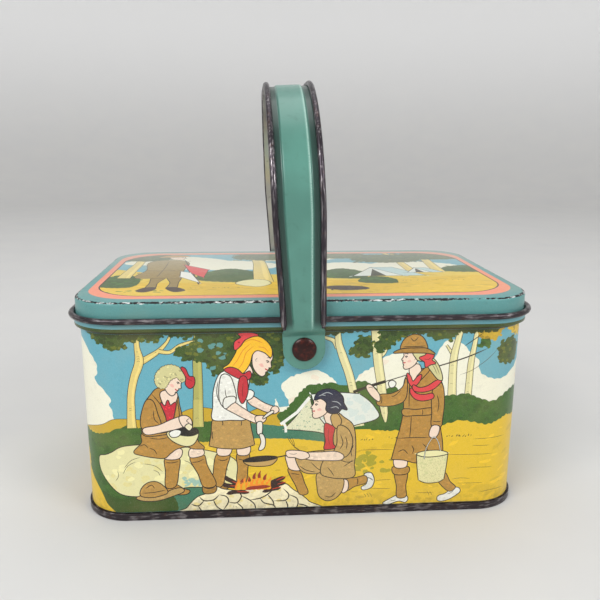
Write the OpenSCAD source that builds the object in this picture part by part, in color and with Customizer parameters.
// Picnic tin with a lift-off lid and a swinging strap handle.
// Millimetres. +X is the long way, +Y goes to the back, +Z is up.
// The origin is on the table, in the middle of the base.

/* [Body] */
// Length of the wall, outside to outside
body_w = 190; // [170:1:210]
// Depth of the wall, outside to outside
body_d = 125; // [112:1:140]
// Outside radius of the four upright corners
corner_r = 19; // [14:0.5:24]
// Height at which the wall steps out to carry the lid
wall_top = 82.6; // [75:0.1:90]
// Thickness of every tinplate sheet
sheet = 0.4; // [0.3:0.05:0.45]

/* [Rim] */
// How far the collar stands out from the wall
collar_out = 2.3; // [2.1:0.1:2.6]
// Outside radius of the wired bead round the mouth
rim_r = 1.25; // [1.1:0.05:1.4]

/* [Base] */
// Height of the crimped seam round the foot
seam_h = 3.3; // [2.8:0.1:4]
// How far the seam stands out from the wall
seam_out = 1; // [0.9:0.05:1.2]

/* [Lid] */
// Height of the lid's top above the table
lid_top = 96.05; // [94:0.1:99]
// Radius of the lid's upper edge
lid_edge_r = 1.5; // [1:0.1:2]
// Gap between the lid's skirt and the collar
lid_gap = 0.4; // [0.3:0.05:0.5]

/* [Handle] */
// Height of the rivets that the handle swings on
pivot_z = 76; // [72:0.5:77]
// Sideways place of the rivets
pivot_x = -1.4; // [-2:0.1:2]
// Height of the handle's crest above the rivets, over the beads
handle_h = 108.1; // [100:0.5:120]
// Radius of the handle's two shoulders, over the beads
shoulder_r = 53.3; // [40:0.5:60]
// Half of the strap's width at the crest
crest_half = 10.6; // [9.5:0.1:11.5]
// Half of the strap's width at the foot of each leg
foot_half = 9.1; // [8.6:0.1:9.4]
// Lean of the handle at rest, towards -X
lean = 2.4; // [0:0.1:5]

/* [Hidden] */
$fn = 96;

// Ledge under the lid, and the bead round the mouth
ledge_z = wall_top + 1.1;
collar_z = wall_top + 1.7;
rim_x = collar_out - sheet + rim_r;
rim_z = wall_top + 5.95;
wire_gap = 0.05;

// Lid, as offsets from the wall's outer face
skirt_out = collar_out - sheet - lid_gap;
skirt_z = ledge_z + 0.7;
lid_under = lid_top - sheet;

// Base, as heights
base_recess = 3;
fold_gap = 0.05;

// Handle: the strap's section stands outward from its inner face
strap_y = body_d / 2 + 4.9;
bead_r = 1.25;
bead_inner_r = bead_r - sheet;
bead_sides = 24;
leg_step = 0.02;
panel_rise = 0.6;
groove = 2.3;
web_run = 0.6;
arc_r = shoulder_r - 2 * bead_r;
arc_y = strap_y - arc_r;
arc_h = handle_h - 2 * bead_r - arc_r;
bead_end_h = 9.4;
strap_end_h = 7.4;

// Tab at the foot of each leg, flat until it is past the edge of the rivet head
tab_y = body_d / 2 + 2.6;
tab_r = 8.7;
tab_top_h = 5.45;
web_half = 8.8;

// Rivets
shank_r = 2;
swing_gap = 0.06;
seat_gap = 0.02;
head_r = 5.0;
head_h = 1.7;
tail_r = 3.2;
tail_h = 1.1;
burr_r = 5;
burr_t = 0.6;
spacer_r = 3.6;
face_gap = 0.1;
burr_y = body_d / 2 - sheet - fold_gap;

// Side seam of the wrapped wall, on the inside of the back
side_seam_x = 62;
side_seam_w = 5;

// A flat outline child (x outward from the wall's face, y up) carried round the tin
module carry_round() {
    for (k = [0:3])
        translate([(k == 0 || k == 3 ? 1 : -1) * (body_w / 2 - corner_r),
                   (k < 2 ? 1 : -1) * (body_d / 2 - corner_r), 0])
            rotate(90 * k) rotate_extrude(angle = 90) translate([corner_r, 0]) children();
    for (side = [0, 180]) rotate(side) {
        translate([0, body_d / 2, 0]) rotate([90, 0, 90])
            linear_extrude(body_w - 2 * corner_r, center = true) children();
        translate([body_w / 2, 0, 0]) rotate([90, 0, 0])
            linear_extrude(body_d - 2 * corner_r, center = true) children();
    }
}

// Flat plate with the tin's plan, its edge moved out by "out"
module plan_plate(out, z0, z1) {
    r = corner_r + out;
    translate([0, 0, z0]) linear_extrude(z1 - z0) {
        square([body_w - 2 * corner_r, body_d + 2 * out], center = true);
        square([body_w + 2 * out, body_d - 2 * corner_r], center = true);
        for (sx = [-1, 1], sy = [-1, 1])
            translate([sx * (body_w / 2 - corner_r), sy * (body_d / 2 - corner_r)]) circle(r);
    }
}

// Ring section with a hole in it
module ring_section(outer_r, inner_r) {
    difference() { circle(outer_r); circle(inner_r); }
}

// Cylinder along Y from y0 to y1, centred on the pivot axis
module pivot_rod(r, y0, y1) {
    translate([pivot_x, y0, pivot_z]) rotate([-90, 0, 0]) cylinder(r = r, h = y1 - y0);
}

// Domed head along +Y: flat face at y0, crown at y0 + h
module pivot_dome(r, h, y0) {
    ball = (r * r + h * h) / (2 * h);
    intersection() {
        translate([pivot_x, y0 + h - ball, pivot_z]) sphere(ball);
        pivot_rod(r + 1, y0, y0 + h + 1);
    }
}

// Wrapped wall with its folded foot, the step that carries the lid, and the curled mouth
module wall_section() {
    polygon([[-sheet, 0.45], [0.55, 0.45], [0.55, seam_h - 0.4], [0, seam_h - 0.4],
             [0, wall_top], [0.5, ledge_z - 0.4], [collar_out - 0.5, ledge_z],
             [collar_out, collar_z], [collar_out, rim_z - 0.15], [collar_out - sheet, rim_z - 0.15],
             [collar_out - sheet, collar_z + 0.2], [collar_out - 0.75, ledge_z + 0.4],
             [0.2, ledge_z], [-sheet, wall_top + 0.2]]);
    translate([rim_x, rim_z]) ring_section(rim_r, rim_r - sheet);
}

module body_wall() {
    color([0.45, 0.68, 0.70]) difference() {
        union() {
            carry_round() wall_section();
            translate([side_seam_x, body_d / 2 - sheet - 0.4, seam_h + 1])
                cube([side_seam_w, 0.6, wall_top - seam_h - 2]);
        }
        pivot_rod(shank_r + seat_gap, -body_d, body_d);
    }
}

// Recessed plate whose edge is crimped over the foot of the wall
module base_plate() {
    inner = -sheet - fold_gap;
    color([0.30, 0.30, 0.29]) {
        carry_round() polygon([[inner - sheet, 0], [seam_out, 0], [seam_out, seam_h],
                               [seam_out - sheet, seam_h], [seam_out - sheet, sheet],
                               [inner, sheet], [inner, base_recess], [inner - sheet, base_recess]]);
        plan_plate(inner - sheet, base_recess - sheet, base_recess);
    }
}

// Iron wire inside the bead of the mouth
module rim_wire() {
    color([0.35, 0.34, 0.34]) carry_round()
        translate([rim_x, rim_z]) circle(rim_r - sheet - wire_gap);
}

// Lid: a flat top, a rolled edge, and a skirt that drops inside the collar
module lid_shell() {
    edge_z = lid_top - lid_edge_r;
    color([0.42, 0.60, 0.57]) {
        carry_round() {
            translate([skirt_out - sheet, skirt_z]) square([sheet, edge_z - skirt_z]);
            intersection() {
                translate([skirt_out - lid_edge_r, edge_z])
                    ring_section(lid_edge_r, lid_edge_r - sheet);
                translate([skirt_out - lid_edge_r, edge_z]) square(lid_edge_r);
            }
        }
        plan_plate(skirt_out - lid_edge_r, lid_under, lid_top);
    }
}

// Puts a child drawn about the pivot into the tin, leaning as it rests
module on_pivot() {
    translate([pivot_x, 0, pivot_z]) rotate([0, -lean, 0]) children();
}

// Half of the strap's width at height h on a leg
function half_at(h) =
    foot_half + (crest_half - foot_half) * (h - bead_end_h) / (arc_h - bead_end_h);

// One side of the sheet's section from the middle to the bead: x across, y outward
function panel_edge(half) = half - 2 * bead_r - groove;
function sheet_side(half, rise, edge) =
    [[edge - web_run, panel_rise + rise], [edge, rise], [half - bead_r - 0.3, rise]];
function mirrored(side) = [for (k = [len(side) - 1:-1:0]) [-side[k].x, side[k].y]];
function reversed(side) = [for (k = [len(side) - 1:-1:0]) side[k]];

// Whole section of the sheet, anticlockwise
function sheet_section(half) =
    let (inside = sheet_side(half, 0, panel_edge(half)),
         outside = sheet_side(half, sheet, panel_edge(half) + 0.15))
    concat(mirrored(inside), inside, reversed(outside), reversed(mirrored(outside)));

// Circle of radius r at the middle of a bead
function bead_circle(half, r) =
    [for (k = [0:bead_sides - 1]) [half - bead_r, bead_r] + r * [cos(k * 360 / bead_sides),
                                                                  sin(k * 360 / bead_sides)]];

// End faces of a loft of n points: one face, or for a bent strip a row of four-sided faces,
// where point k of the outline faces point n - 1 - k
function end_faces(n, strip) =
    strip ? [for (k = [0:n / 2 - 2]) [k, k + 1, n - 2 - k, n - 1 - k]] : [[for (k = [0:n - 1]) k]];

// Straight-sided solid between the same outline at two heights
module loft(low, high, h0, h1, strip = false) {
    n = len(low);
    ends = end_faces(n, strip);
    polyhedron(concat([for (p = low) [p.x, p.y, h0]], [for (p = high) [p.x, p.y, h1]]),
               concat(ends, [for (face = ends) [for (k = [len(face) - 1:-1:0]) n + face[k]]],
                      [for (k = [0:n - 1]) [k, n + k, n + (k + 1) % n, (k + 1) % n]]));
}

// Shoulder, then the level crest, for a section child
module shoulder() {
    translate([0, arc_y, arc_h]) rotate([90, 0, 90]) rotate_extrude(angle = 90)
        translate([arc_r, 0]) mirror([1, 0]) rotate(90) children();
}
module crest() {
    translate([0, 0, arc_h + arc_r]) rotate([90, 0, 0])
        linear_extrude(2 * arc_y, center = true) children();
}

// Rod of radius r along the middle of one rolled edge, from foot to foot
module edge_rod(r) {
    crest() translate([crest_half - bead_r, bead_r]) circle(r);
    for (side = [0, 1]) mirror([0, side, 0]) {
        shoulder() translate([crest_half - bead_r, bead_r]) circle(r);
        translate([0, strap_y, 0]) loft(bead_circle(foot_half, r - leg_step),
                                        bead_circle(crest_half, r - leg_step), bead_end_h, arc_h);
    }
}

// Flat part of the strap, between the rolled edges
module strap_sheet() {
    crest() polygon(sheet_section(crest_half));
    for (side = [0, 1]) mirror([0, side, 0]) {
        shoulder() polygon(sheet_section(crest_half));
        translate([0, strap_y, 0])
            loft(sheet_section(half_at(strap_end_h)), sheet_section(crest_half),
                 strap_end_h, arc_h, strip = true);
    }
}

// Rounded tab that steps in towards the wall and turns on the rivet
module tab() {
    translate([0, tab_y, 0]) rotate([-90, 0, 0]) linear_extrude(sheet) {
        circle(tab_r);
        translate([-tab_r, -tab_top_h]) square([2 * tab_r, tab_top_h]);
    }
    rotate([90, 0, 90]) linear_extrude(2 * web_half, center = true)
        polygon([[tab_y, tab_top_h - 0.4], [tab_y, tab_top_h], [strap_y, strap_end_h],
                 [strap_y, bead_end_h], [strap_y + sheet, bead_end_h],
                 [strap_y + sheet, strap_end_h - 0.2], [tab_y + sheet, tab_top_h - 0.2],
                 [tab_y + sheet, tab_top_h - 0.4]]);
}

// One rolled edge of the handle, from foot to foot
module edge_tube() {
    crest() translate([crest_half - bead_r, bead_r]) ring_section(bead_r, bead_inner_r);
    for (side = [0, 1]) mirror([0, side, 0]) {
        shoulder() translate([crest_half - bead_r, bead_r]) ring_section(bead_r, bead_inner_r);
        translate([0, strap_y, 0]) difference() {
            loft(bead_circle(foot_half, bead_r - leg_step),
                 bead_circle(crest_half, bead_r - leg_step), bead_end_h, arc_h);
            loft(bead_circle(foot_half, bead_inner_r + leg_step),
                 bead_circle(crest_half, bead_inner_r + leg_step), bead_end_h, arc_h);
        }
    }
}

// Strap with its two rolled edges and two tabs
module handle_strap() {
    color([0.37, 0.58, 0.52]) difference() {
        on_pivot() {
            strap_sheet();
            for (half = [0, 1]) mirror([half, 0, 0]) edge_tube();
            for (side = [0, 1]) mirror([0, side, 0]) tab();
        }
        pivot_rod(shank_r + swing_gap, -body_d, body_d);
    }
}

// Wires inside the rolled edges
module handle_wire_left() {
    color([0.33, 0.31, 0.32]) on_pivot() mirror([1, 0, 0]) edge_rod(bead_inner_r - wire_gap);
}
module handle_wire_right() {
    color([0.33, 0.31, 0.32]) on_pivot() edge_rod(bead_inner_r - wire_gap);
}

// Rivet: domed head outside the tab, shank through tab, spacer, wall and burr, peened tail
module rivet() {
    head_y = tab_y + sheet + face_gap;
    tail_y = burr_y - burr_t - fold_gap;
    color([0.24, 0.12, 0.09]) {
        pivot_dome(head_r, head_h, head_y);
        pivot_rod(shank_r, tail_y - 0.1, head_y + 0.1);
        mirror([0, 1, 0]) pivot_dome(tail_r, tail_h, -tail_y);
    }
}

// Short tube that holds the tab off the wall, so the handle swings clear of the collar
module spacer() {
    color([0.45, 0.44, 0.42]) difference() {
        pivot_rod(spacer_r, body_d / 2 + fold_gap, tab_y - face_gap);
        pivot_rod(shank_r + seat_gap, body_d / 2 - 1, tab_y + 1);
    }
}

// Washer under the rivet's tail, inside the tin
module burr() {
    color([0.55, 0.54, 0.52]) difference() {
        pivot_rod(burr_r, burr_y - burr_t, burr_y);
        pivot_rod(shank_r + seat_gap, burr_y - burr_t - 1, burr_y + 1);
    }
}

module front_rivet() { mirror([0, 1, 0]) rivet(); }
module back_rivet() { rivet(); }
module front_spacer() { mirror([0, 1, 0]) spacer(); }
module back_spacer() { spacer(); }
module front_burr() { mirror([0, 1, 0]) burr(); }
module back_burr() { burr(); }

body_wall();
base_plate();
rim_wire();
lid_shell();
handle_strap();
handle_wire_left();
handle_wire_right();
front_rivet();
back_rivet();
front_spacer();
back_spacer();
front_burr();
back_burr();
